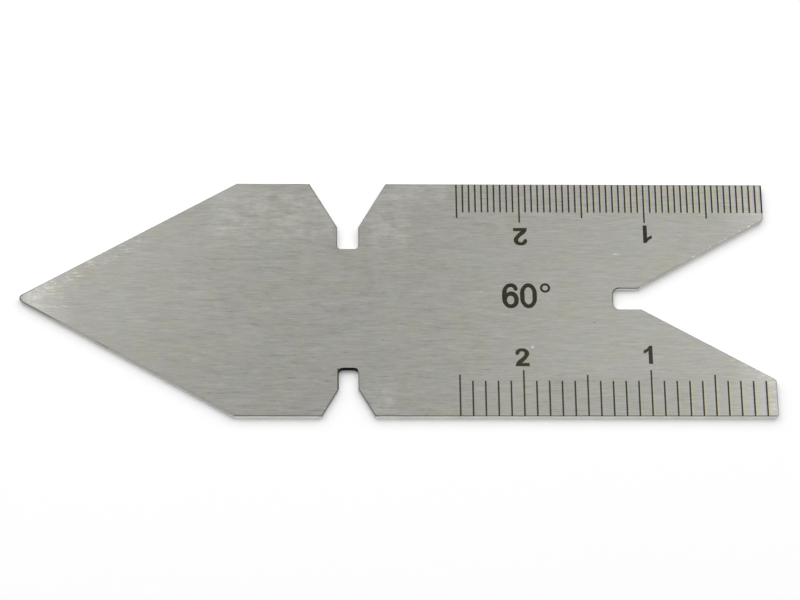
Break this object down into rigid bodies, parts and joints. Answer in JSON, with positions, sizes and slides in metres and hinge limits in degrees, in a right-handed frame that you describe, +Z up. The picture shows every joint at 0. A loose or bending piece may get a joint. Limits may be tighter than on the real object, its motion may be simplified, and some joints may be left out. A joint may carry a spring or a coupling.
{
  "type": "center gauge",
  "caption": "Flat 60 degree center gauge for thread tools: pointed nose, fishtail vee, relieved side notches and millimetre scales along both edges.",
  "frame": {"origin": "middle of the underside, halfway between the nose end and the end of the longer tine", "axes": "+X along the gauge from the nose to the fishtail, +Y across it towards the edge with the half millimetre scale and the large notch, +Z up out of the graduated face"},
  "size_m": [0.0594, 0.02, 0.0005],
  "materials": {
    "ground_steel": "ground along the length, satin",
    "mark_stain": "dark stain in etched lines, matt"
  },
  "bodies": {
    "root": {"gauge_plate": "ground_steel"}
  },
  "joints": []
}
